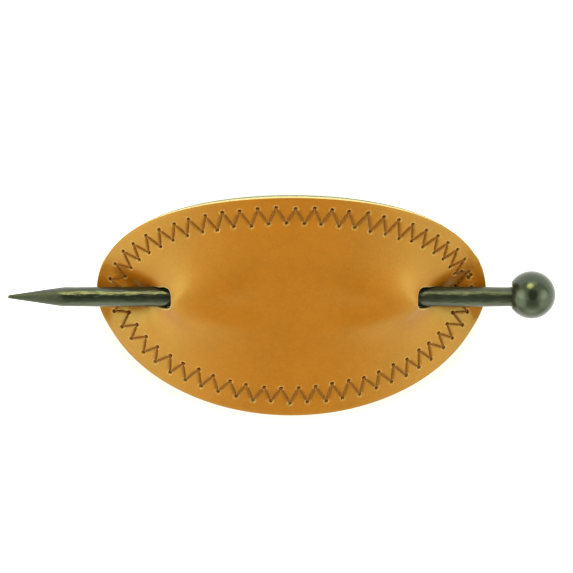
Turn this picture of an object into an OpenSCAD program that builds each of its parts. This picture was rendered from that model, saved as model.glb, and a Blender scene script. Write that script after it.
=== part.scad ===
// Hair barrette: an arched leather oval with a stick through two punched holes.
// X runs along the stick towards its ball, Y across the oval, Z up.
// The origin is on the table, under the middle of the whole piece.

/* [Leather oval] */
// Length of the oval along the leather, tip to tip
oval_length = 122; // [116:1:128]
// Width of the oval
oval_width = 69.8; // [64:0.1:74]
// Thickness of the tan face leather
leather_thickness = 1.6; // [1.2:0.1:1.8]
// Thickness of the dark lining behind it
lining_thickness = 0.85; // [0.6:0.05:1]
// Middle of the oval, along X
oval_x = 2.85; // [0:0.05:5]

/* [Arch] */
// Radius that the leather is bent to
arch_radius = 109; // [104:1:116]
// Radius of the reverse bend at each toe
toe_radius = 12; // [8:1:16]
// Length of leather that lies flat at each toe
toe_flat = 2.3; // [1:0.1:3]

/* [Stick holes] */
// Inner rim of the left hole, from the middle of the oval
left_rim = 36; // [35:0.1:37]
// Inner rim of the right hole, from the middle of the oval
right_rim = 37.8; // [36:0.1:38.5]
// Length of a hole, seen from above
hole_length = 7.6; // [7.4:0.1:8.4]
// Width of a hole
hole_width = 7.6; // [7.5:0.1:8.2]
// Squareness of a hole's outline, where 2 is an ellipse
hole_power = 3; // [2.8:0.1:4]
// Middle of a hole, across the oval
hole_y = 0.2; // [0:0.1:0.4]
// How far the stick's push has shifted a hole's inner end sideways
hole_skew = 1; // [0:0.1:1.2]

/* [Pressed leather] */
// How far inward from a hole the leather rides up over the stick
ridge_reach = 20; // [14:1:24]
// How far past a hole the leather is pressed down by the stick
valley_reach = 9; // [7:1:10]
// Spread of the ridge to each side of the stick
ridge_spread = 6.5; // [5.5:0.1:8]
// Spread of the valley to each side of the stick
valley_spread = 8; // [7:0.1:10]

/* [Stick] */
// Length of the stick and ball together
pin_length = 164.1; // [155:0.1:175]
// Diameter of the stick
stick_diameter = 6; // [5:0.1:6.1]
// Length of the sharpened end
point_length = 16.5; // [10:0.5:25]
// Diameter of the blunt tip
tip_diameter = 1; // [0.6:0.1:2]
// Height of the stick's axis above the table
stick_height = 7.4; // [7.3:0.05:7.7]
// Where the stick lies across its loose holes
stick_y = 0.1; // [0:0.1:0.2]

/* [Ball] */
// Diameter of the ball
ball_diameter = 14.5; // [12:0.1:14.6]
// Distance from the ball's centre to the flat where the stick enters
flat_distance = 6.1; // [4.5:0.1:6.1]
// How far the ball's centre lies off the stick's axis
ball_offset = 0.6; // [0:0.1:0.8]
// Depth of the socket in the ball
socket_depth = 8; // [5:0.5:9]

/* [Fit] */
// Gap between the leather and its lining
layer_gap = 0.05; // [0.03:0.01:0.1]
// Least gap between the stick and the leather
stick_gap = 0.2; // [0.15:0.05:0.3]
// Gap round the stick inside the ball's socket
socket_gap = 0.05; // [0.03:0.01:0.1]

/* [Facets] */
// Facets across the middle of the oval
middle_steps = 20; // [16:2:24]
// Facets round each end of the oval
edge_steps = 42; // [36:2:48]
// Rows of facets from a hole to the edge
rows = 10; // [8:1:10]

/* [Hidden] */
leather_colour = "#b87820";
lining_colour = "#6c6f5e";
stick_colour = "#2a2e2a";
ball_colour = "#323832";

half_length = oval_length / 2;
half_width = oval_width / 2;
sheet = leather_thickness + layer_gap + lining_thickness;
stick_radius = stick_diameter / 2;
ball_radius = ball_diameter / 2;
tip_x = -pin_length / 2;
ball_x = pin_length / 2 - ball_radius;
flat_x = ball_x - flat_distance;
radian = 180 / PI;

// The arch is one wide arc that turns back at each toe and ends flat on the table.
toe_slope = (half_length - toe_flat) / (arch_radius + toe_radius) * radian;
arc_end = arch_radius * toe_slope / radian;
toe_end = half_length - toe_flat;
arch_rise = (arch_radius + toe_radius) * (1 - cos(toe_slope));

// Slope of the leather at a length s from the middle
function slope(s) =
    s < arc_end ? s / arch_radius * radian : max(0, toe_slope - (s - arc_end) / toe_radius * radian);

// Distance from the middle, seen from above, of a point at the length s
function reach(s) =
    s < arc_end ? arch_radius * sin(slope(s))
    : (arch_radius + toe_radius) * sin(toe_slope) - toe_radius * sin(slope(s)) + max(0, s - toe_end);

// Height of the leather's face at the length s, before the stick presses it
function arch_height(s) =
    sheet + (s < arc_end ? arch_rise - arch_radius * (1 - cos(slope(s))) : toe_radius * (1 - cos(slope(s))));

// The same height at a distance x seen from above, and the length that goes with it
function height_over(x) = sheet + arch_rise - arch_radius + sqrt(arch_radius ^ 2 - x ^ 2);
function length_at(x) = arch_radius * asin(x / arch_radius) / radian;

function inner_rim(side) = side > 0 ? right_rim : left_rim;
function outer_rim(side) = inner_rim(side) + hole_length;

// The stick lifts the inner rim of each hole and presses the outer rim down.
slant = 1.06;     // a sloping sheet measures more from top to bottom
run_over = 1.3;   // the change of height starts before the hole and ends past it
function lift(side) =
    stick_height + stick_radius + stick_gap + sheet * slant - height_over(inner_rim(side));
function dip(side) = height_over(outer_rim(side)) - (stick_height - stick_radius - stick_gap);
run_over_part = (1 - cos(180 * run_over / (hole_length + 2 * run_over))) / 2;
function plateau(near, far) =
    (near * (1 - run_over_part) + far * run_over_part) / (1 - 2 * run_over_part);
function ridge_top(side) = plateau(lift(side), dip(side));
function valley_floor(side) = plateau(dip(side), lift(side));

function ease(t) = let (c = max(0, min(1, t))) c * c * (3 - 2 * c);
function swing(t) = (1 - cos(180 * max(0, min(1, t)))) / 2;

// Height that the stick adds to the leather right over or under its axis
function press_line(x, side) =
    let (start = inner_rim(side) - run_over, stop = outer_rim(side) + run_over)
    x < start ? ridge_top(side) * ease(1 + (x - start) / (ridge_reach - run_over))
    : x < stop ? ridge_top(side) - (ridge_top(side) + valley_floor(side)) * swing((x - start) / (stop - start))
    : -valley_floor(side) * (1 - ease((x - stop) / (valley_reach - run_over)));

// The same height at a distance across the stick
function press(x, y, side) =
    let (part = max(0, min(1, (x - inner_rim(side)) / hole_length)),
         spread = ridge_spread + (valley_spread - ridge_spread) * part)
    press_line(x, side) * exp(-((y - stick_y) / spread) ^ 2);

// A point of the leather's face at the signed length u and the width v
function face(u, v) =
    let (side = u < 0 ? -1 : 1, x = reach(abs(u)))
    [side * x, v, max(sheet, arch_height(abs(u)) + press(x, v, side))];

near = 0.02;   // distance to the neighbours that give a point's normal
function normal(u, v) =
    let (n = cross(face(u + near, v) - face(u - near, v), face(u, v + near) - face(u, v - near)))
    n / norm(n);

// The leather is laid out flat in rays, each from the rim of a hole to the oval's edge
// or to its middle line, where the rays of both halves meet.
rays = middle_steps + edge_steps;
function edge_point(k) =
    k <= middle_steps ? [0, half_width * (1 - 2 * k / middle_steps)]
    : let (t = -90 + 180 * (k - middle_steps) / edge_steps) [half_length * cos(t), half_width * sin(t)];

function hole_centre(side) =
    [(length_at(inner_rim(side)) + length_at(outer_rim(side))) / 2, hole_y];
function hole_half(side) =
    [(length_at(outer_rim(side)) - length_at(inner_rim(side))) / 2, hole_width / 2];
function rim_point(side, towards) =
    let (c = hole_centre(side), h = hole_half(side), d = (towards - c) / norm(towards - c),
         r = (abs(d.x / h.x) ^ hole_power + abs(d.y / h.y) ^ hole_power) ^ (-1 / hole_power))
    c + r * d - [0, hole_skew * r * d.x / h.x];

// Rows lie closer together at the hole, where the leather bends most
row_power = 1.3;
function flat_point(side, k, j) =
    let (edge = edge_point(k), rim = rim_point(side, edge), p = rim + (edge - rim) * (j / rows) ^ row_power)
    [side * p.x, p.y];

flat_points = [for (side = [1, -1]) for (k = [0:rays - 1]) for (j = [0:rows]) flat_point(side, k, j)];
face_points = [for (p = flat_points) face(p.x, p.y)];
face_normals = [for (p = flat_points) normal(p.x, p.y)];
point_count = len(flat_points);

// Number of a point, where both halves share the ones on the middle line
function index(side, k, j) =
    let (shared = side < 0 && j == rows && k % rays <= middle_steps, half = side > 0 || shared ? 0 : 1)
    (half * rays + k % rays) * (rows + 1) + j;

// Two triangles for a four-sided patch, turned over for the mirrored half
function patch(side, a, b, c, d) =
    side > 0 ? [[a, b, c], [a, c, d]] : [[a, c, b], [a, d, c]];

function depth_points(depth) =
    [for (i = [0:point_count - 1])
        let (p = face_points[i] - depth * face_normals[i])
        [p.x + oval_x, p.y, max(0, p.z)]];

function sheet_faces() =
    let (below = point_count)
    [for (side = [1, -1]) for (k = [0:rays - 1])
        each concat(
            [for (j = [0:rows - 1])
                each concat(
                    patch(side, index(side, k, j), index(side, k + 1, j),
                          index(side, k + 1, j + 1), index(side, k, j + 1)),
                    patch(-side, below + index(side, k, j), below + index(side, k + 1, j),
                          below + index(side, k + 1, j + 1), below + index(side, k, j + 1)))],
            patch(side, index(side, k + 1, 0), index(side, k, 0),
                  below + index(side, k, 0), below + index(side, k + 1, 0)),
            k < middle_steps ? []
            : patch(side, index(side, k, rows), index(side, k + 1, rows),
                    below + index(side, k + 1, rows), below + index(side, k, rows)))];

// One layer of the sheet between two depths under the leather's face
module layer(top, bottom) {
    polyhedron(points = concat(depth_points(top), depth_points(bottom)), faces = sheet_faces());
}

module leather_oval() {
    color(leather_colour)
        layer(0, leather_thickness);
}

module lining() {
    color(lining_colour)
        layer(leather_thickness + layer_gap, sheet);
}

// The stick lies along X, sharpened at its left end and seated in the ball's socket.
module stick() {
    seat_x = flat_x + socket_depth - socket_gap;
    edge = 0.2;
    color(stick_colour)
        translate([tip_x, stick_y, stick_height])
            rotate([0, 90, 0])
                rotate_extrude($fn = 64)
                    polygon([
                        [0, 0],
                        [tip_diameter / 2 - edge, 0],
                        [tip_diameter / 2, edge],
                        [stick_radius, point_length],
                        [stick_radius, seat_x - tip_x - edge],
                        [stick_radius - edge, seat_x - tip_x],
                        [0, seat_x - tip_x],
                    ]);
}

// The ball has a small flat where the stick goes in, and sits a little off the stick's axis.
module ball() {
    overlap = 1;
    color(ball_colour)
        difference() {
            translate([ball_x, stick_y + ball_offset, stick_height])
                rotate([0, 90, 0])
                    rotate_extrude($fn = 96)
                        intersection() {
                            circle(r = ball_radius, $fn = 96);
                            translate([0, -flat_distance])
                                square([ball_radius + overlap, flat_distance + ball_radius + overlap]);
                        }
            translate([flat_x - overlap, stick_y, stick_height])
                rotate([0, 90, 0])
                    cylinder(r = stick_radius + socket_gap, h = socket_depth + overlap, $fn = 64);
        }
}

leather_oval();
lining();
stick();
ball();
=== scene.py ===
"""A hair barrette: an arched oval of sewn leather, held by a black stick with a ball end.

All sizes are in millimetres until a mesh is placed, and in metres from there on. The leather is made as a
maker makes it: cut flat, edged, pricked and sewn on the flat pattern, and bent to its arch at the end.
"""

import logging
import math
from dataclasses import dataclass, field
from enum import Enum
from typing import Any, Sequence

import bmesh
import bpy
import numpy as np
from mathutils import Matrix, Vector


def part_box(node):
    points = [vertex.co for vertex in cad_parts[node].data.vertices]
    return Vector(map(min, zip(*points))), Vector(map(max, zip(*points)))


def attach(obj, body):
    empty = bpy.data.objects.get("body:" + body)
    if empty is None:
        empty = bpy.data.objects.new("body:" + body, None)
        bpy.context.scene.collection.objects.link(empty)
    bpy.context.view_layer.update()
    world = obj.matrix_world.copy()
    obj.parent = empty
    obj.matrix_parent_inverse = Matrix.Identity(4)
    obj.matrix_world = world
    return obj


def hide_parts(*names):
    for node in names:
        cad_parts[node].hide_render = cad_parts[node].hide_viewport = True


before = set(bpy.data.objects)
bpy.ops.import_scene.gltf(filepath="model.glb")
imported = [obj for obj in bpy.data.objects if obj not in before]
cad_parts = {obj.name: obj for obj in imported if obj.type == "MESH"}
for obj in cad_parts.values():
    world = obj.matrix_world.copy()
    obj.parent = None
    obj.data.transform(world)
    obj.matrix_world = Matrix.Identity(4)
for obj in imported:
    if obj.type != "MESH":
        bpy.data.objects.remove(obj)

MM = 0.001
PHOTO_PIXELS = 573
# Edges that turn more than this stay sharp.
SHARP_DEGREES = 40.0
# How many finer layers the noise of a soft cloud and of a fine grain has.
CLOUD_DETAIL = 3.0
GRAIN_DETAIL = 4.0

Shape = bmesh.types.BMesh
Tree = bpy.types.NodeTree
Socket = bpy.types.NodeSocket
Inputs = dict[str | int, Any]

log = logging.getLogger("barrette")


class Side(Enum):
    """The two ends of the barrette, by the sign of their X."""

    LEFT = -1
    RIGHT = 1


class Surface(Enum):
    """The two surfaces of the sewn sheet, by the sign of the way out of it."""

    FACE = 1
    BACK = -1


def linear(shade: str) -> tuple[float, float, float, float]:
    """Turns an sRGB hex colour into a linear one.

    Args:
        shade: The colour, such as "#b87820".

    Returns:
        Red, green, blue and an alpha of one.
    """
    parts = [int(shade[i : i + 2], 16) / 255 for i in (1, 3, 5)]
    red, green, blue = (p / 12.92 if p <= 0.04045 else ((p + 0.055) / 1.055) ** 2.4 for p in parts)
    return red, green, blue, 1.0


def feed(node: bpy.types.Node, inputs: Inputs) -> None:
    """Sets the inputs of a node.

    Args:
        node: The node.
        inputs: For each input, by name or number, a value or the socket that feeds it.
    """
    for name, value in inputs.items():
        if isinstance(value, Socket):
            node.id_data.links.new(value, node.inputs[name])
        else:
            node.inputs[name].default_value = value


def add_node(tree: Tree, kind: str, inputs: Inputs | None = None, **settings: Any) -> bpy.types.Node:
    """Adds one node to a tree.

    Args:
        tree: The tree that gets the node.
        kind: The node's type name.
        inputs: For each input, by name or number, a value or the socket that feeds it.
        settings: The node's own properties.

    Returns:
        The new node.
    """
    node = tree.nodes.new(kind)
    for name, value in settings.items():
        setattr(node, name, value)
    feed(node, inputs or {})
    return node


def add_noise(tree: Tree, place: Socket, cell_mm: float, detail: float) -> Socket:
    """A noise, from 0 to 1, with lumps of one size."""
    inputs = {"Vector": place, "Scale": 1 / (cell_mm * MM), "Detail": detail}
    return add_node(tree, "ShaderNodeTexNoise", inputs).outputs["Fac"]


def add_sum(tree: Tree, operation: str, *values: float | Socket) -> Socket:
    """A number worked out from others."""
    return add_node(tree, "ShaderNodeMath", dict(enumerate(values)), operation=operation).outputs[0]


def add_vector(tree: Tree, operation: str, *values: tuple[float, ...] | Socket) -> Socket:
    """A vector, or for a length or a dot product a number, worked out from vectors."""
    node = add_node(tree, "ShaderNodeVectorMath", dict(enumerate(values)), operation=operation)
    return node.outputs["Value" if operation in ("LENGTH", "DOT_PRODUCT") else "Vector"]


def add_range(
    tree: Tree, value: Socket, old: tuple[float, float], new: tuple[float, float], kind: str = "LINEAR"
) -> Socket:
    """Moves a number from its old range to the new one, and keeps it between the ends."""
    inputs = dict(zip(("Value", "From Min", "From Max", "To Min", "To Max"), (value, *old, *new)))
    return add_node(tree, "ShaderNodeMapRange", inputs, interpolation_type=kind).outputs[0]


def add_mix(tree: Tree, part: Socket, first: str | Socket, second: str | Socket) -> Socket:
    """Mixes two colours, in sRGB hex or as sockets. The part is how much there is of the second."""
    colours = (linear(colour) if isinstance(colour, str) else colour for colour in (first, second))
    return add_node(
        tree, "ShaderNodeMix", dict(zip(("Factor", 6, 7), (part, *colours))), data_type="RGBA"
    ).outputs[2]


def add_bump(tree: Tree, height: Socket, depth_mm: float, **more: float | Socket) -> Socket:
    """The normal of a surface with a fine relief."""
    inputs = {"Height": height, "Distance": depth_mm * MM, "Strength": 1.0, **more}
    return add_node(tree, "ShaderNodeBump", inputs).outputs["Normal"]


def add_swing(tree: Tree, noise: Socket, level: float, either_way: float) -> Socket:
    """A number that a noise moves equally far below and above its level."""
    return add_range(tree, noise, (0.0, 1.0), (level - either_way, level + either_way))


@dataclass(frozen=True)
class Finish:
    """What every finish has: a material whose pattern sits in the object."""

    name: str

    def build(self) -> bpy.types.Material:
        """Makes the material.

        Returns:
            The material.
        """
        material = bpy.data.materials.new(self.name)
        material.use_nodes = True
        tree = material.node_tree
        place = add_node(tree, "ShaderNodeTexCoord").outputs["Object"]
        feed(tree.nodes["Principled BSDF"], self.surface(tree, place))
        return material

    def surface(self, tree: Tree, place: Socket) -> Inputs:
        """Works out what feeds each input of the surface shader, each finish in its own way."""
        raise NotImplementedError


@dataclass(frozen=True)
class TanLeather(Finish):
    """Vegetable-tanned cowhide with a dyed and pressed grain side.

    The press leaves it nearly smooth, with a wide soft gloss, fine pores and slow changes of the dye. It is
    paler on the raised lip round each needle hole, and painted near black inside the holes as painted shade
    in the pits.
    """

    name: str = "vegetable_tanned_leather_face"
    dye: str = "#774200"
    dye_pale: str = "#864a02"
    # Near black inside the needle holes: painted shade in the pits.
    hole: str = "#1c0c01"
    # The paler colour of the raised lip round each needle hole.
    stretch: str = "#b78a55"
    lip_paling: float = 0.45
    gloss_tint: str = "#ffffa2"
    gloss_level: float = 0.7
    cloud_mm: float = 16.0
    pore_mm: float = 0.55
    grain_mm: float = 2.2
    relief_depth_mm: float = 0.03
    relief_strength: float = 0.6
    speckle: float = 0.55
    dye_range: tuple[float, float] = (0.6, 1.3)
    roughness: float = 0.35
    roughness_range: float = 0.05

    def surface(self, tree: Tree, place: Socket) -> Inputs:
        """Works out the leather's face.

        Args:
            tree: The material's tree.
            place: The object's own coordinates.

        Returns:
            What feeds each input of the surface shader.
        """
        cloud = add_noise(tree, place, self.cloud_mm, CLOUD_DETAIL)
        grain = add_noise(tree, place, self.grain_mm, GRAIN_DETAIL)
        pores = add_node(tree, "ShaderNodeTexVoronoi", {"Vector": place, "Scale": 1 / (self.pore_mm * MM)})
        relief = add_sum(tree, "ADD", pores.outputs["Distance"], grain)
        patchy = add_sum(tree, "MULTIPLY_ADD", relief, self.speckle, cloud)
        dyed = add_mix(tree, add_range(tree, patchy, self.dye_range, (0.0, 1.0)), self.dye, self.dye_pale)
        # Paler on the raised lip round each needle hole, and near black inside the holes, which is painted
        # shade.
        lip_ring, holes = (
            add_node(tree, "ShaderNodeAttribute", attribute_name=name).outputs["Fac"]
            for name in ("lip_ring", "needle_hole_shade")
        )
        lipped = add_mix(tree, add_sum(tree, "MULTIPLY", lip_ring, self.lip_paling), dyed, self.stretch)
        return {
            "Base Color": add_mix(tree, holes, lipped, self.hole),
            "Roughness": add_swing(tree, grain, self.roughness, self.roughness_range),
            "Normal": add_bump(tree, relief, self.relief_depth_mm, Strength=self.relief_strength),
            "Specular Tint": linear(self.gloss_tint),
            "Specular IOR Level": self.gloss_level,
        }


@dataclass(frozen=True)
class BrushedPaint(Finish):
    """Black paint brushed on a stick that was whittled by hand.

    The brush leaves fine streaks along the stick and the knife slow ripples under them, so the gloss breaks
    up. The point is rubbed matt, and the paint is duller towards the ball.
    """

    name: str = "brushed_black_paint"
    shade: str = "#1d211d"
    shade_deep: str = "#141714"
    roughness: float = 0.14
    streak_matt: float = 0.14
    streak_mm: float = 0.45
    streak_stretch: float = 0.12
    streak_depth_mm: float = 0.06
    ripple_mm: float = 2.1
    ripple_stretch: float = 0.55
    ripple_depth_mm: float = 0.28
    ripple_detail: float = 1.5
    point_ends_mm: tuple[float, float] = (-70.0, -63.5)
    point_matt: float = 0.26
    dull_ends_mm: tuple[float, float] = (-35.0, 45.0)
    dull: float = 0.09
    gloss_tint: str = "#f6ffe4"

    def surface(self, tree: Tree, place: Socket) -> Inputs:
        """Works out the paint.

        Args:
            tree: The material's tree.
            place: The object's own coordinates.

        Returns:
            What feeds each input of the surface shader.
        """
        along = add_node(tree, "ShaderNodeSeparateXYZ", {"Vector": place}).outputs["X"]
        drawn, carved = (
            add_node(tree, "ShaderNodeMapping", {"Vector": place, "Scale": (stretch, 1, 1)}).outputs[0]
            for stretch in (self.streak_stretch, self.ripple_stretch)
        )
        streaks = add_noise(tree, drawn, self.streak_mm, CLOUD_DETAIL)
        ripples = add_noise(tree, carved, self.ripple_mm, self.ripple_detail)
        point_ends, dull_ends = ((a * MM, b * MM) for a, b in (self.point_ends_mm, self.dull_ends_mm))
        matt = (self.roughness + self.point_matt, self.roughness)
        point = add_range(tree, along, point_ends, matt, "SMOOTHSTEP")
        dull = add_range(tree, along, dull_ends, (0.0, self.dull), "SMOOTHSTEP")
        rough = add_sum(tree, "ADD", point, dull)
        knife = add_bump(tree, ripples, self.ripple_depth_mm)
        return {
            "Base Color": add_mix(tree, streaks, self.shade, self.shade_deep),
            "Roughness": add_sum(tree, "MULTIPLY_ADD", streaks, self.streak_matt, rough),
            "Normal": add_bump(tree, streaks, self.streak_depth_mm, Normal=knife),
            "Specular Tint": linear(self.gloss_tint),
        }


@dataclass(frozen=True)
class PlainFinish(Finish):
    """A finish of one colour with small clouds and a fine relief, as raw leather, suede and thread have."""

    shade: str
    shade_deep: str
    roughness: float
    cloud_mm: float
    relief_mm: float
    relief_depth_mm: float
    roughness_range: float = 0.04
    gloss_level: float = 0.5
    gloss_tint: str = "#ffffff"
    sheen: float = 0.0

    def surface(self, tree: Tree, place: Socket) -> Inputs:
        """Works out the finish.

        Args:
            tree: The material's tree.
            place: The object's own coordinates.

        Returns:
            What feeds each input of the surface shader.
        """
        cloud = add_noise(tree, place, self.cloud_mm, CLOUD_DETAIL)
        fine = add_noise(tree, place, self.relief_mm, GRAIN_DETAIL)
        return {
            "Base Color": add_mix(tree, cloud, self.shade, self.shade_deep),
            "Roughness": add_swing(tree, fine, self.roughness, self.roughness_range),
            "Normal": add_bump(tree, fine, self.relief_depth_mm),
            "Specular IOR Level": self.gloss_level,
            "Specular Tint": linear(self.gloss_tint),
            "Sheen Weight": self.sheen,
        }


@dataclass(frozen=True)
class GlowingTable(Finish):
    """A table whose glow is painted light: it glows all round the barrette, so that it is as white as the
    room.

    Under the barrette it doesn't glow, which paints a soft shadow there. Each row of the rings says where a
    ring of glow starts and where it is full, as parts of the covered oval, and how strong it is.
    """

    name: str = "table_painted_glow_and_shadow"
    shade: str = "#5c5c5a"
    glow_shade: str = "#fffff6"
    roughness: float = 0.6
    covered_middle: tuple[float, float, float] = (2.85, -7.0, 0.0)
    covered: tuple[float, float, float] = (53.0, 34.0, 1000.0)
    rings: tuple[tuple[float, float, float], ...] = ((0.955, 1.02, 0.85), (1.05, 1.3, 1.1))

    def surface(self, tree: Tree, place: Socket) -> Inputs:
        """Works out the table.

        Args:
            tree: The material's tree.
            place: The object's own coordinates.

        Returns:
            What feeds each input of the surface shader.
        """
        away = add_vector(tree, "SUBTRACT", place, tuple(size * MM for size in self.covered_middle))
        parts = add_vector(tree, "MULTIPLY", away, tuple(1 / (size * MM) for size in self.covered))
        out = add_vector(tree, "LENGTH", parts)
        glows = (add_range(tree, out, ring[:2], (0.0, ring[2]), "SMOOTHSTEP") for ring in self.rings)
        return {
            "Base Color": linear(self.shade),
            "Roughness": self.roughness,
            "Specular IOR Level": 0.0,
            "Emission Color": linear(self.glow_shade),
            "Emission Strength": add_sum(tree, "ADD", *glows),
        }


# The undyed core of the hide, where the knife went through: pale, dry fibres.
CUT_EDGE = PlainFinish("cut_leather_edge", "#b5a67a", "#a8986b", 0.75, 3.0, 0.25, 0.03)
# The lip of a hole, where the punch has bent the grain and shows a little of the pale hide.
HOLE_LIP = PlainFinish("punched_hole_lip", "#a28450", "#967845", 0.6, 1.5, 0.25, 0.03)
# The edge of the lining, trimmed together with the leather and burnished dark.
LINING_EDGE = PlainFinish("trimmed_lining_edge", "#4c5038", "#42452f", 0.7, 3.0, 0.25, 0.03)
# A split of grey-green leather with a short nap, the lining that the table side shows.
LINING_SUEDE = PlainFinish("lining_suede", "#77795f", "#5f614c", 0.85, 9.0, 0.35, 0.06, sheen=0.25)
# The wall of a hole, coloured dark brown: painted shade, as falls into the narrow gap round the stick.
HOLE_WALL_SHADE = PlainFinish("painted_shade_hole_wall", "#3c2812", "#2a1b0b", 0.7, 1.5, 0.3, 0.03)
# Waxed linen thread, redder and darker than the leather, with a dull gloss.
SEWING_THREAD = PlainFinish(
    "waxed_linen_thread", "#6e410a", "#5f360a", 0.75, 1.5, 0.18, 0.04, gloss_level=0.2
)
# The stick's black, dipped on the ball, which dries to a softer and more even gloss.
DIPPED_BLACK = PlainFinish(
    "dipped_black_paint", "#1c211c", "#161a16", 0.155, 6.0, 2.0, 0.04, gloss_tint="#f1ffe8"
)


def add_object(name: str, shape: Shape, finishes: Sequence[Finish]) -> bpy.types.Object:
    """Turns a finished shape, in metres, into an object.

    Args:
        name: The object's name.
        shape: Its shape, which is freed.
        finishes: Its finishes, in the order of its faces' material numbers.

    Returns:
        The object.
    """
    mesh = bpy.data.meshes.new(name)
    shape.to_mesh(mesh)
    shape.free()
    for finish in finishes:
        mesh.materials.append(bpy.data.materials.get(finish.name) or finish.build())
    made = bpy.data.objects.new(name, mesh)
    bpy.context.collection.objects.link(made)
    return made


def face_outwards(shape: Shape) -> None:
    """Turns the faces of a shape outwards."""
    bmesh.ops.recalc_face_normals(shape, faces=shape.faces[:])


def make_piece(name: str, shape: Shape, finishes: Sequence[Finish], body: str) -> bpy.types.Object:
    """Makes a piece of the barrette.

    Args:
        name: The piece's name.
        shape: Its shape, in metres, which is freed.
        finishes: Its finishes, in order.
        body: The moving body that it rides on.

    Returns:
        The piece.
    """
    piece = add_object(name, shape, finishes)
    piece.data.shade_smooth()
    piece.data.set_sharp_from_angle(angle=math.radians(SHARP_DEGREES))
    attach(piece, body)
    log.info("%s: %d faces on %s", name, len(piece.data.polygons), body)
    return piece


def unit(rows: np.ndarray) -> np.ndarray:
    """The rows, each made one long."""
    return rows / np.linalg.norm(rows, axis=1)[:, None]


def inside_oval(half_length: float, half_width: float, turn: np.ndarray, inset: float) -> np.ndarray:
    """Points on a line that runs inside an oval at one distance.

    Args:
        half_length: Half the oval's length.
        half_width: Half its width.
        turn: Angles round the oval, in radians.
        inset: The distance from the oval.

    Returns:
        The points, a row each.
    """
    c, s = np.cos(turn), np.sin(turn)
    out = unit(np.stack([c / half_length, s / half_width], axis=1))
    return np.stack([half_length * c, half_width * s], axis=1) - inset * out


def squared_reach(way: np.ndarray, half: tuple[float, float], power: float) -> np.ndarray:
    """How far a squared oval reaches from its middle, in each direction."""
    return np.sum(np.abs(way / half) ** power, axis=1) ** (-1 / power)


def smooth(part: np.ndarray) -> np.ndarray:
    """A soft step: 0 up to 0, 1 from 1 on, and level at both."""
    part = np.clip(part, 0, 1)
    return part**2 * (3 - 2 * part)


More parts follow.
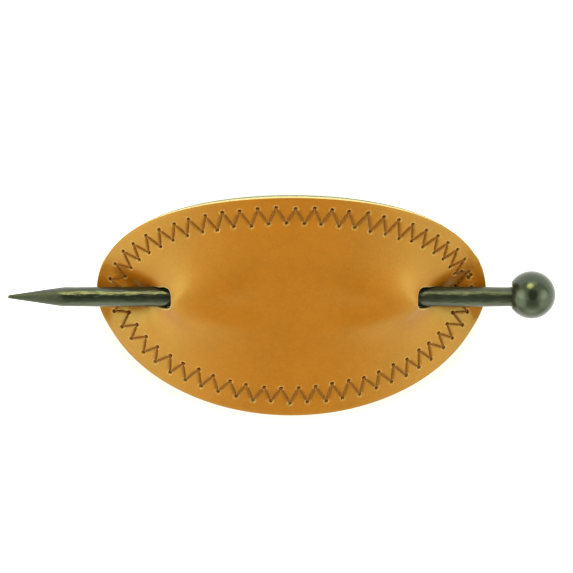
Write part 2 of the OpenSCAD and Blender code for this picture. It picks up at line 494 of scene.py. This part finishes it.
@dataclass
class Bend:
    """How the flat leather is bent.

    It is one wide arch with flat toes, and the stick lifts it inside each hole and presses it down outside.
    Heights are those of the leather's face over the table.
    """

    half_length: float = 61.0
    half_width: float = 34.9
    sheet: float = 2.5
    middle_x: float = 2.85
    arch_radius: float = 116.0
    toe_radius: float = 8.0
    toe_flat: float = 1.2
    rims: tuple[float, float] = (36.0, 37.8)
    hole_length: float = 7.6
    hole_width: float = 7.6
    hole_power: float = 3.0
    hole_y: float = 0.2
    hole_skew: float = 1.0
    hole_snug: float = 3.1
    ridge_reach: float = 27.0
    valley_reach: float = 9.0
    ridge_spread: float = 9.0
    valley_spread: float = 6.0
    stick_radius: float = 3.0
    stick_height: float = 7.4
    stick_y: float = 0.1
    stick_gap: float = 0.2
    slant: float = 1.06
    run_over: float = 1.3
    early: float = 0.35
    soften: float = 6.0
    soft_width: float = 5.0
    snug_starts: float = 0.15
    near: float = 0.02
    toe_slope: float = field(init=False)
    arch_end: float = field(init=False)
    rise: float = field(init=False)

    def __post_init__(self) -> None:
        """Works out the arch from its sizes."""
        both = self.arch_radius + self.toe_radius
        self.toe_slope = (self.half_length - self.toe_flat) / both
        self.arch_end = self.arch_radius * self.toe_slope
        self.rise = both * (1 - math.cos(self.toe_slope))

    def rim(self, side: Side) -> float:
        """Distance of a hole's inner rim from the middle, seen from above."""
        return self.rims[side is Side.RIGHT]

    def slope(self, s: np.ndarray) -> np.ndarray:
        """Slope of the leather, in radians, at a length from the middle."""
        toe = np.maximum(0, self.toe_slope - (s - self.arch_end) / self.toe_radius)
        return np.where(s < self.arch_end, s / self.arch_radius, toe)

    def reach(self, s: np.ndarray) -> np.ndarray:
        """Distance from the middle, seen from above, at a length from the middle.

        Args:
            s: Lengths along the leather.

        Returns:
            The distances.
        """
        slope = self.slope(s)
        both = self.arch_radius + self.toe_radius
        past = np.maximum(0, s - self.half_length + self.toe_flat)
        return np.where(
            s < self.arch_end,
            self.arch_radius * np.sin(slope),
            both * math.sin(self.toe_slope) - self.toe_radius * np.sin(slope) + past,
        )

    def arch(self, s: np.ndarray) -> np.ndarray:
        """Height of the leather's face before the stick presses it."""
        fall = 1 - np.cos(self.slope(s))
        return self.sheet + np.where(
            s < self.arch_end, self.rise - self.arch_radius * fall, self.toe_radius * fall
        )

    def over(self, x: float) -> float:
        """The same height over a point at the distance x, seen from above."""
        return self.sheet + self.rise - self.arch_radius + math.sqrt(self.arch_radius**2 - x * x)

    def length_at(self, x: float) -> float:
        """Length along the leather of a point at the distance x, seen from above."""
        return self.arch_radius * math.asin(x / self.arch_radius)

    def levels(self, side: Side) -> tuple[float, float]:
        """How far the stick lifts the leather inside a hole, and presses it down outside.

        Args:
            side: The end of the barrette.

        Returns:
            The lift and the dip.
        """
        rim = self.rim(side)
        clear = self.stick_radius + self.stick_gap
        lift = self.stick_height + clear + self.sheet * self.slant - self.over(rim)
        dip = self.over(rim + self.hole_length) - self.stick_height + clear
        run = self.hole_length + 2 * self.run_over
        inner, outer = (self.crossing(np.array(at / run)) for at in (self.run_over, run - self.run_over))
        whole = (lift + dip) / (outer - inner)
        return lift + inner * whole, dip + (1 - outer) * whole

    def crossing(self, part: np.ndarray) -> np.ndarray:
        """How far the leather has come down past the stick, at each part of the way through a hole."""
        part = np.clip(part, 0, 1)
        return (1 - np.cos(math.pi * (part + self.early * part * (1 - part)))) / 2

    def press(self, x: np.ndarray, y: np.ndarray, side: Side) -> np.ndarray:
        """Height that the stick adds to the leather on one side.

        Args:
            x: Distances from the middle, seen from above.
            y: Places across the oval.
            side: The end of the barrette.

        Returns:
            The added heights.
        """
        ridge, valley = self.levels(side)
        run = self.run_over + self.soften * (1 - np.exp(-(((y - self.stick_y) / self.soft_width) ** 2)))
        start = self.rim(side) - run
        stop = self.rim(side) + self.hole_length + run
        rising = smooth(1 + (x - start) / (self.ridge_reach - self.run_over))
        crossing = self.crossing((x - start) / (stop - start))
        fading = smooth((x - stop) / (self.valley_reach - self.run_over))
        line = np.where(x < start, ridge * rising, ridge - (ridge + valley) * crossing)
        line = np.where(x > stop, -valley * (1 - fading), line)
        part = np.clip((x - self.rim(side)) / self.hole_length, 0, 1)
        spread = self.ridge_spread + (self.valley_spread - self.ridge_spread) * part
        return line * np.exp(-(((y - self.stick_y) / spread) ** 2))

    def face(self, u: np.ndarray, v: np.ndarray) -> np.ndarray:
        """Places points of the flat pattern on the bent leather's face.

        Args:
            u: Lengths along the pattern.
            v: Widths across it.

        Returns:
            The points, a row each, in millimetres from the middle of the oval.
        """
        s = np.abs(u)
        x = self.reach(s)
        pressed = np.where(u < 0, self.press(x, v, Side.LEFT), self.press(x, v, Side.RIGHT))
        return np.stack([np.sign(u) * x, v, np.maximum(self.sheet, self.arch(s) + pressed)], axis=1)

    def place(self, flat: np.ndarray) -> np.ndarray:
        """Bends points of the flat sheet.

        Args:
            flat: Length, width and height of each point, where the leather's face is at height zero.

        Returns:
            The points in the shared frame, in metres.
        """
        u, v, up = flat[:, 0], flat[:, 1], flat[:, 2]
        step = self.near
        along = self.face(u + step, v) - self.face(u - step, v)
        across = self.face(u, v + step) - self.face(u, v - step)
        points = self.face(u, v) + up[:, None] * unit(np.cross(along, across))
        points[:, 0] += self.middle_x
        points[:, 2] = np.maximum(points[:, 2], 0)
        return points * MM

    def bend_shape(self, shape: Shape, flat: np.ndarray) -> None:
        """Moves the points of a shape to where those of the flat sheet come to lie."""
        for v, point in zip(shape.verts, self.place(flat)):
            v.co = point

    def edge(self, turn: np.ndarray, inset: float) -> np.ndarray:
        """Points of the flat pattern that lie at one distance inside the oval's edge."""
        return inside_oval(self.half_length, self.half_width, turn, inset)

    def hole(self, side: Side, towards: np.ndarray) -> np.ndarray:
        """Points on a hole's rim in the directions of other points.

        Args:
            side: The end of the barrette.
            towards: The points, on the flat pattern.

        Returns:
            A point of the rim for each.
        """
        ends = self.length_at(self.rim(side)), self.length_at(self.rim(side) + self.hole_length)
        centre = np.array([side.value * sum(ends) / 2, self.hole_y])
        half = (ends[1] - ends[0]) / 2
        way = unit(towards - centre)
        inner = squared_reach(way, (half, self.hole_width / 2), self.hole_power)
        outer = squared_reach(way, (half, self.hole_snug), 2.0)
        blend = smooth(self.snug_starts - side.value * way[:, 0])
        rim = centre + (outer + (inner - outer) * blend)[:, None] * way
        rim[:, 1] += self.hole_skew * np.clip(-side.value * (rim[:, 0] - centre[0]) / half, 0, 1)
        return rim


@dataclass
class ZigzagSewing:
    """The zigzag of waxed thread that joins the leather and its lining, sewn by hand along the edge.

    The holes lie on two lines inside an oval that the maker drew. Their pitch drifts slowly, each strays a
    little, and the last ones, near the tie-off, have places of their own.
    """

    bend: Bend
    half_length: float = 60.8
    half_width: float = 34.7
    middle_y: float = 0.5
    turns: int = 56
    first: float = 11.2
    outer_inset: float = 3.55
    inner_inset: float = 8.42
    pitch_sin: tuple[float, float] = (-2.95, -2.05)
    pitch_cos: tuple[float, float] = (-0.57, -1.2)
    last_outer: tuple[tuple[float, float], ...] = ((56.5, 1.5), (55.4, 6.2))
    last_inner: tuple[float, float] = (51.1, 1.9)
    tie_off: tuple[tuple[float, float], ...] = ((52.9, 6.75), (56.2, 5.1), (55.4, 4.35))
    stray: float = 0.3
    stray_seed: int = 5
    thread_radius: float = 0.29
    thread_sides: int = 8
    thread_steps: int = 12
    sunk: float = 0.08
    sink_spread: float = 1.4
    hole_radius: float = 0.46
    hole_depth: float = 0.75
    hole_power: int = 6
    hole_shade: float = 1.3
    lip_height: float = 0.1
    lip_width: float = 0.24
    groove_depth: float = 0.1
    groove_width: float = 0.42
    line_points: int = 4001
    outer: np.ndarray = field(init=False)
    inner: np.ndarray = field(init=False)

    def __post_init__(self) -> None:
        """Marks the needle holes on the flat pattern."""
        around = np.linspace(0, 2 * math.pi, self.line_points)
        middle = self.line(around, (self.outer_inset + self.inner_inset) / 2)
        run = np.concatenate([[0], np.cumsum(np.linalg.norm(np.diff(middle, axis=0), axis=1))])
        # The hand that pricked the holes put each one a little off its even place.
        hand = np.random.default_rng(self.stray_seed)
        rows = []
        for inset, shift in ((self.outer_inset, 0.0), (self.inner_inset, 0.5)):
            count = np.arange(self.turns) + shift
            wave = 2 * math.pi * count / self.turns
            along = self.first + run[-1] * count / self.turns
            for times, (by_sin, by_cos) in enumerate(zip(self.pitch_sin, self.pitch_cos), start=1):
                along = along + by_sin * np.sin(times * wave) + by_cos * np.cos(times * wave)
            along = along + hand.uniform(-self.stray, self.stray, self.turns)
            turn = np.interp(along % run[-1], run, around)
            inside = hand.uniform(-self.stray, self.stray, (self.turns, 1))
            even = self.line(turn, inset)
            rows.append(even + inside * (self.line(turn, inset + 1) - even))
        self.outer, self.inner = rows
        self.outer[-2:] = self.last_outer
        self.inner[-2] = self.last_inner

    def line(self, turn: np.ndarray, inset: float) -> np.ndarray:
        """Points on a line of needle holes, at one distance inside the drawn oval."""
        return inside_oval(self.half_length, self.half_width, turn, inset) + (0.0, self.middle_y)

    def stitches(self) -> list[tuple[np.ndarray, np.ndarray]]:
        """Lists the stitches.

        Returns:
            The two needle holes of every stitch, in sewing order.
        """
        pairs = []
        for k in range(self.turns):
            pairs.append((self.outer[k], self.inner[k]))
            pairs.append((self.inner[k], self.outer[(k + 1) % self.turns]))
        knot = [self.outer[-1], *(np.array(spot) for spot in self.tie_off[1:])]
        return pairs + list(zip(knot, knot[1:]))

    def relief(self, spots: np.ndarray) -> tuple[np.ndarray, np.ndarray, np.ndarray]:
        """How the sewing shapes the leather's surface.

        Args:
            spots: Points of the flat pattern, a row each.

        Returns:
            The height that it adds to each point, how far each lies inside a needle hole, from 0 to 1, which
            sets the painted shade of the hole, and how far each lies on the raised lip round a hole, from 0
            to 1.
        """
        holes = np.concatenate([self.outer, self.inner, self.tie_off])
        apart = np.full(len(spots), np.inf)
        for hole in holes:
            apart = np.minimum(apart, np.linalg.norm(spots - hole, axis=1))
        beside = np.full(len(spots), np.inf)
        for start, stop in self.stitches():
            way = stop - start
            part = np.clip((spots - start) @ way / (way @ way), 0, 1)
            beside = np.minimum(beside, np.linalg.norm(spots - start - part[:, None] * way, axis=1))
        pit = 1 / (1 + (apart / self.hole_radius) ** self.hole_power)
        lip = np.exp(-(((apart - self.hole_radius - self.lip_width) / self.lip_width) ** 2))
        groove = np.exp(-((beside / self.groove_width) ** 2))
        height = self.lip_height * lip - self.groove_depth * groove - self.hole_depth * pit
        return height, np.clip(pit * self.hole_shade, 0, 1), lip

    def thread(self, surface: Surface, level: float) -> Shape:
        """Lays the thread of every stitch on one surface.

        Args:
            surface: The surface that it lies on.
            level: The height of that surface on the flat sheet.

        Returns:
            The bent thread, in metres.
        """
        shape = bmesh.new()
        for start, stop in self.stitches():
            laid = len(shape.verts)
            made = bmesh.ops.create_cone(
                shape,
                cap_ends=True,
                segments=self.thread_sides,
                radius1=self.thread_radius,
                radius2=self.thread_radius,
                depth=1.0,
            )
            edges = {e for v in made["verts"] for e in v.link_edges}
            rails = [e for e in edges if abs(e.verts[0].co.z - e.verts[1].co.z) > 0.5]
            bmesh.ops.subdivide_edges(shape, edges=rails, cuts=self.thread_steps)
            shape.verts.ensure_lookup_table()
            self.lay(shape.verts[laid:], start, stop, level, surface)
        self.bend.bend_shape(shape, np.array([v.co[:] for v in shape.verts]))
        face_outwards(shape)
        return shape

    def lay(
        self,
        verts: Sequence[bmesh.types.BMVert],
        start: np.ndarray,
        stop: np.ndarray,
        level: float,
        surface: Surface,
    ) -> None:
        """Lays one straight piece of thread between two needle holes.

        Args:
            verts: Its points, along Z from -0.5 to 0.5.
            start: The hole where it comes out.
            stop: The hole where it goes in.
            level: The height of the sheet's surface.
            surface: Which surface it is.
        """
        way = stop - start
        long = float(np.linalg.norm(way))
        way = way / long
        for v in verts:
            side, rise = v.co.x, v.co.y
            along = (v.co.z + 0.5) * long
            from_hole = min(along, long - along)
            sink = self.hole_depth * math.exp(-((from_hole / (self.sink_spread * self.hole_radius)) ** 2))
            up = self.thread_radius - self.sunk - self.groove_depth - sink + rise
            v.co = (
                start[0] + way[0] * along - way[1] * side,
                start[1] + way[1] * along + way[0] * side,
                level + surface.value * up,
            )


@dataclass
class LeatherSheet:
    """One layer of the oval: the tan leather or its lining.

    Its finishes are those of its surfaces, its cut edge, the lip of its holes and their wall.
    """

    bend: Bend
    sewing: ZigzagSewing
    name: str
    node: str
    top: float
    thickness: float
    surface: Surface
    finishes: tuple[Finish, ...]
    around: int = 220
    band_rows: int = 9
    band_width: float = 11.7
    plain_rows: int = 2
    middle_steps: int = 40
    inner_rows: int = 22
    row_power: float = 1.3
    fine_cuts: int = 3
    edge_round: float = 0.22
    hole_round: float = 0.22
    hole_ring: float = 0.9
    weld: float = 0.01
    round_steps: int = 3
    rim_points: int = 1601
    band_margin: float = 1.01
    rim_degrees: float = 60.0
    edge_starts: float = 0.95
    edge_rise: float = 0.4
    level_rise: float = 0.99
    lip_rise: float = 0.1

    def build(self) -> None:
        """Cuts, edges, pricks and bends the layer, and puts it in the place of its plain solid."""
        shape = self.cut_flat()
        self.refine(shape)
        self.thicken(shape)
        flat = np.array([v.co[:] for v in shape.verts])
        level = 0.0 if self.surface is Surface.FACE else -self.thickness
        on_surface = np.abs(flat[:, 2] - level) < self.weld
        height, inside, lip_ring = self.sewing.relief(flat[:, :2])
        flat[:, 2] += np.where(on_surface, self.surface.value * height, 0) - self.top
        self.bend.bend_shape(shape, flat)
        piece = make_piece(self.name, shape, self.finishes, "barrette")
        for name, values in (("needle_hole_shade", inside), ("lip_ring", lip_ring)):
            layer = piece.data.attributes.new(name, "FLOAT", "POINT")
            layer.data.foreach_set("value", np.where(on_surface, values, 0).astype(np.float32))
        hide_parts(self.node)

    def cut_flat(self) -> Shape:
        """Cuts the oval with its two holes out of flat leather, as a band round the edge and two halves.

        Returns:
            The flat face, in millimetres.
        """
        shape = bmesh.new()
        step = 2 * math.pi / self.around
        turn = np.linspace(0, 2 * math.pi, self.around + 1)
        insets = (self.band_width * j / self.band_rows for j in range(self.band_rows + 1))
        self.grid(shape, [self.bend.edge(turn, inset) for inset in insets])
        quarter = self.around // 4
        for side in Side:
            first = -quarter if side is Side.RIGHT else quarter
            arc = self.bend.edge(step * np.arange(first, first + 2 * quarter + 1), self.band_width)
            line = np.linspace(arc[-1], arc[0], self.middle_steps + 1)
            outline = np.concatenate([arc, line[1:]])
            rim = self.bend.hole(side, outline)
            ring = rim + self.hole_ring * unit(outline - rim)
            parts = (np.arange(self.inner_rows) / (self.inner_rows - 1)) ** self.row_power
            self.grid(shape, [rim] + [ring + (outline - ring) * p for p in parts])
        bmesh.ops.remove_doubles(shape, verts=shape.verts[:], dist=self.weld)
        face_outwards(shape)
        if shape.faces[0].normal.z < 0:
            bmesh.ops.reverse_faces(shape, faces=shape.faces[:])
        return shape

    def grid(self, shape: Shape, lines: Sequence[np.ndarray]) -> None:
        """Adds a patch of four-sided faces that follows rows of points.

        Args:
            shape: The shape that gets the patch.
            lines: The rows, each with the same number of points.
        """
        wide, deep = len(lines[0]), len(lines)
        made = bmesh.ops.create_grid(shape, x_segments=wide - 1, y_segments=deep - 1, size=1.0)
        for v in made["verts"]:
            i = round((v.co.x + 1) / 2 * (wide - 1))
            j = round((v.co.y + 1) / 2 * (deep - 1))
            v.co = (*lines[j][i], 0.0)

    def refine(self, shape: Shape) -> None:
        """Makes the faces under the sewing fine enough for its holes.

        Args:
            shape: The flat face.
        """
        low = self.band_width * (self.plain_rows - 0.5) / self.band_rows
        high = self.band_width * self.band_margin
        rim = self.bend.edge(np.linspace(0, 2 * math.pi, self.rim_points), 0.0)
        fine = set()
        for face in shape.faces:
            spot = np.array(face.calc_center_median()[:2])
            if low < np.linalg.norm(rim - spot, axis=1).min() < high:
                fine.update(face.edges)
        bmesh.ops.subdivide_edges(shape, edges=list(fine), cuts=self.fine_cuts, use_grid_fill=True)

    def thicken(self, shape: Shape) -> None:
        """Gives the flat layer its thickness, rounds its cut edges and numbers its finishes.

        Args:
            shape: The flat face.
        """
        grown = bmesh.ops.extrude_face_region(shape, geom=shape.faces[:])
        for g in grown["geom"]:
            if isinstance(g, bmesh.types.BMVert):
                g.co.z = -self.thickness
        face_outwards(shape)
        sharp = math.radians(self.rim_degrees)
        rims = [e for e in shape.edges if len(e.link_faces) == 2 and e.calc_face_angle(0.0) > sharp]
        outside = {e for e in rims if self.near_edge(e.verts[0].co)}
        for ring, offset in ((outside, self.edge_round), (set(rims) - outside, self.hole_round)):
            bmesh.ops.bevel(
                shape,
                geom=list(ring),
                offset=offset,
                segments=self.round_steps,
                profile=0.5,
                affect="EDGES",
                material=-1,
                clamp_overlap=offset < self.hole_ring / 3,
            )
        shape.normal_update()
        for face in shape.faces:
            face.material_index = self.slot_of(face)

    def near_edge(self, spot: Vector) -> bool:
        """Whether a point of the flat pattern lies near the oval's own edge."""
        return math.hypot(spot.x / self.bend.half_length, spot.y / self.bend.half_width) > self.edge_starts

    def slot_of(self, face: bmesh.types.BMFace) -> int:
        """Finds the finish of a face by the way that it looks.

        Args:
            face: A face of the flat sheet.

        Returns:
            The number of its finish: the surface, the cut edge, the lip or the wall of a hole.
        """
        rise = face.normal.z
        if self.near_edge(face.calc_center_median()):
            return 0 if abs(rise) > self.edge_rise else 1
        if abs(rise) > self.level_rise:
            return 0
        return 2 if rise > self.lip_rise else 3


@dataclass
class HairStick:
    """The turned and painted stick, sharpened at its left end.

    The knife has left it a little wavy. Each row of the waves has the length over which a wave turns by a
    radian, how often it goes round the stick and where it starts.
    """

    tip_x: float
    end_x: float
    axis_y: float
    axis_z: float
    radius: float
    point_length: float = 16.5
    tip_radius: float = 0.5
    sides: int = 48
    ring_step: float = 1.2
    tip_face: float = 0.7
    tip_corner: float = 0.15
    waver: float = 0.07
    waves: tuple[tuple[float, int, float], ...] = ((3.1, 2, 0.0), (5.3, -1, 1.3), (1.9, 3, 0.4))
    weld: float = 0.001

    def build(self) -> None:
        """Turns, whittles and paints the stick."""
        shape = bmesh.new()
        long = self.end_x - self.tip_x
        steps = np.linspace(self.tip_corner, long, int(long / self.ring_step))[1:]
        profile = [(0.0, 0.0), (0.0, self.tip_radius * self.tip_face), (self.tip_corner, self.tip_radius)]
        profile += [(x, self.radius_at(x)) for x in steps] + [(long, 0.0)]
        verts = [shape.verts.new((x, 0.0, r)) for x, r in profile]
        edges = [shape.edges.new(pair) for pair in zip(verts, verts[1:])]
        bmesh.ops.spin(
            shape,
            geom=verts + edges,
            cent=(0, 0, 0),
            axis=(1, 0, 0),
            angle=2 * math.pi,
            steps=self.sides,
            use_merge=True,
        )
        bmesh.ops.remove_doubles(shape, verts=shape.verts[:], dist=self.weld)
        for v in shape.verts:
            wave = self.wave(v.co.x, math.atan2(v.co.y, v.co.z))
            v.co.y *= 1 - wave
            v.co.z *= 1 - wave
            v.co = Vector((v.co.x + self.tip_x, v.co.y + self.axis_y, v.co.z + self.axis_z)) * MM
        face_outwards(shape)
        piece = make_piece("painted_stick", shape, (BrushedPaint(),), "pin")
        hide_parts("stick")

    def radius_at(self, x: float) -> float:
        """The stick's radius at a distance from its tip."""
        sharpened = min(x, self.point_length)
        return self.tip_radius + (self.radius - self.tip_radius) * sharpened / self.point_length

    def wave(self, x: float, turn: float) -> float:
        """The part of the radius that the knife took off, up to the waver."""
        slow = sum(math.sin(x / length + times * turn + start) for length, times, start in self.waves)
        return self.waver / self.radius * (1 + slow / len(self.waves)) / 2


@dataclass
class BallEnd:
    """The round end that keeps the stick from slipping through, with a small flat where the stick goes in."""

    centre: tuple[float, float, float]
    radius: float
    flat_distance: float = 6.1
    corner: float = 0.5
    corner_steps: int = 4
    sides: int = 72

    def build(self) -> None:
        """Turns and paints the ball."""
        shape = bmesh.new()
        rings = self.sides // 2
        bmesh.ops.create_uvsphere(shape, u_segments=self.sides, v_segments=rings, radius=self.radius)
        lying = Matrix.Rotation(math.pi / 2, 3, "Y")
        bmesh.ops.rotate(shape, cent=(0, 0, 0), matrix=lying, verts=shape.verts[:])
        cut = bmesh.ops.bisect_plane(
            shape,
            geom=shape.verts[:] + shape.edges[:] + shape.faces[:],
            plane_co=(-self.flat_distance, 0, 0),
            plane_no=(-1, 0, 0),
            clear_outer=True,
        )
        rim = [g for g in cut["geom_cut"] if isinstance(g, bmesh.types.BMEdge)]
        flat = bmesh.ops.contextual_create(shape, geom=rim)["faces"]
        bmesh.ops.bevel(
            shape,
            geom=[e for f in flat for e in f.edges],
            offset=self.corner,
            segments=self.corner_steps,
            profile=0.5,
            affect="EDGES",
            material=-1,
        )
        bmesh.ops.translate(shape, verts=shape.verts[:], vec=self.centre)
        bmesh.ops.scale(shape, verts=shape.verts[:], vec=(MM, MM, MM))
        face_outwards(shape)
        piece = make_piece("ball_end", shape, (DIPPED_BLACK,), "pin")
        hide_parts("ball")


@dataclass(frozen=True)
class SoftPanel:
    """A round soft patch of the studio's light, or a dark one where its strength is below zero."""

    way: tuple[float, float, float]
    inner_degrees: float
    outer_degrees: float
    strength: float
    shade: str = "#faffe1"

    def add_to(self, tree: Tree, way: Socket, total: Socket) -> Socket:
        """Adds the patch to the light.

        Args:
            tree: The world's tree.
            way: The direction that is looked at.
            total: The light so far.

        Returns:
            The light with the patch.
        """
        near = add_vector(tree, "DOT_PRODUCT", way, tuple(Vector(self.way).normalized()))
        limits = tuple(math.cos(math.radians(a)) for a in (self.outer_degrees, self.inner_degrees))
        soft = add_range(tree, near, limits, (0.0, 1.0), "SMOOTHSTEP")
        light = tuple(Vector(linear(self.shade)[:3]) * self.strength)
        patch = add_node(tree, "ShaderNodeVectorMath", {0: light, "Scale": soft}, operation="SCALE")
        return add_vector(tree, "ADD", total, patch.outputs[0])


@dataclass
class Studio:
    """The table, the light and the camera.

    The camera sees the aim at the aim's pixel, as in the photo. The panels are the studio's lights and its
    dark places.
    """

    tilt_degrees: float = 22.0
    distance: float = 700.0
    pixel: float = 0.3
    aim: tuple[float, float, float] = (2.85, 0.5, 6.566)
    aim_pixel: tuple[float, float] = (291.34, 294.44)
    sensor: float = 36.0
    clip: tuple[float, float] = (0.01, 20.0)
    floor_half: float = 2.0
    floor_level: float = -0.00005
    room_shade: str = "#faffe1"
    room_light: float = 1.4
    least_light: float = 0.01
    panels: tuple[SoftPanel, ...] = (
        SoftPanel((0.0, 0.375, 0.927), 14, 30, -2.20),
        SoftPanel((0.0, -0.375, 0.927), 8, 42, -1.55),
        SoftPanel((0.0, -0.375, 0.927), 35, 70, 0.80),
        SoftPanel((-0.85, -0.2, 0.45), 10, 40, 1.92),
        SoftPanel((0.85, -0.2, 0.45), 10, 40, 1.52),
        SoftPanel((-0.8, 0.25, 0.5), 8, 26, 3.00),
        SoftPanel((0.8, 0.25, 0.5), 8, 26, 2.60),
        SoftPanel((0.0, 0.98, 0.12), 6, 26, 2.40),
        SoftPanel((0.0, -0.8, 0.6), 8, 30, 0.80),
        SoftPanel((0.0, -0.98, 0.2), 8, 30, 0.60),
        SoftPanel((-0.2, 0.9, 0.389), 5, 15, 12.00, "#fff08c"),
        SoftPanel((0.02, 0.92, 0.389), 4, 10, 2.60, "#fff5a3"),
    )

    def build(self) -> None:
        """Sets up the table, the light and the camera."""
        self.floor()
        self.sky()
        self.camera()
        bpy.context.scene.view_settings.view_transform = "Standard"

    def camera(self) -> None:
        """Puts the camera where the photo was taken from."""
        tilt = math.radians(self.tilt_degrees)
        right, up = Vector((1, 0, 0)), Vector((0, math.cos(tilt), -math.sin(tilt)))
        back = right.cross(up)
        middle = PHOTO_PIXELS / 2
        across = (middle - self.aim_pixel[0]) * self.pixel
        high = (self.aim_pixel[1] - middle) * self.pixel
        place = Vector(self.aim) + back * self.distance + right * across + up * high
        lens = bpy.data.cameras.new("camera")
        lens.sensor_width = self.sensor
        lens.lens = self.sensor * self.distance / (self.pixel * PHOTO_PIXELS)
        lens.clip_start, lens.clip_end = self.clip
        camera = bpy.data.objects.new("camera", lens)
        turn = Matrix((right, up, back)).transposed().to_4x4()
        camera.matrix_world = Matrix.Translation(place * MM) @ turn
        bpy.context.collection.objects.link(camera)
        bpy.context.scene.camera = camera

    def floor(self) -> None:
        """Lays the pale table under the barrette."""
        shape = bmesh.new()
        bmesh.ops.create_grid(shape, x_segments=1, y_segments=1, size=self.floor_half)
        bmesh.ops.translate(shape, verts=shape.verts[:], vec=(0, 0, self.floor_level))
        table = add_object("table", shape, (GlowingTable(),))

    def sky(self) -> None:
        """Surrounds the table with the white room, its panels and windows."""
        world = bpy.data.worlds.new("studio")
        bpy.context.scene.world = world
        world.use_nodes = True
        tree = world.node_tree
        tree.nodes.clear()
        way = add_node(tree, "ShaderNodeTexCoord").outputs["Generated"]
        room = tuple(Vector(linear(self.room_shade)[:3]) * self.room_light)
        total = add_vector(tree, "ADD", room)
        for panel in self.panels:
            total = panel.add_to(tree, way, total)
        lit = add_vector(tree, "MAXIMUM", total, (self.least_light,) * 3)
        back = add_node(tree, "ShaderNodeBackground", {"Color": lit})
        add_node(tree, "ShaderNodeOutputWorld", {"Surface": back.outputs[0]})


@dataclass
class Barrette:
    """The whole barrette."""

    bend: Bend = field(default_factory=Bend)
    leather_thickness: float = 1.6
    layer_gap: float = 0.05

    def build(self) -> None:
        """Builds the pieces in the order in which they are put together."""
        bend = self.bend
        sewing = ZigzagSewing(bend)
        under = self.leather_thickness + self.layer_gap
        LeatherSheet(
            bend,
            sewing,
            "oval_leather",
            "leather_oval",
            top=0.0,
            thickness=self.leather_thickness,
            surface=Surface.FACE,
            finishes=(TanLeather(), CUT_EDGE, HOLE_LIP, HOLE_WALL_SHADE),
            hole_round=0.4,
        ).build()
        LeatherSheet(
            bend,
            sewing,
            "oval_lining",
            "lining",
            top=under,
            thickness=bend.sheet - under,
            surface=Surface.BACK,
            finishes=(LINING_SUEDE, LINING_EDGE, LINING_SUEDE, LINING_SUEDE),
        ).build()
        threads = (("face_thread", Surface.FACE, 0.0), ("back_thread", Surface.BACK, -bend.sheet))
        for name, surface, level in threads:
            make_piece(name, sewing.thread(surface, level), (SEWING_THREAD,), "barrette")
        low, high = (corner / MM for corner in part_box("stick"))
        ball_low, ball_high = (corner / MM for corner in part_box("ball"))
        radius = (ball_high.z - ball_low.z) / 2
        centre = (ball_high.x - radius, (ball_low.y + ball_high.y) / 2, (ball_low.z + ball_high.z) / 2)
        HairStick(low.x, high.x, bend.stick_y, bend.stick_height, bend.stick_radius).build()
        BallEnd(centre, radius).build()


def main() -> None:
    """Builds the barrette and its studio."""
    logging.basicConfig(level=logging.INFO, format="%(name)s: %(message)s")
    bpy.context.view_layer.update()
    Barrette().build()
    Studio().build()


if __name__ == "__main__":
    main()
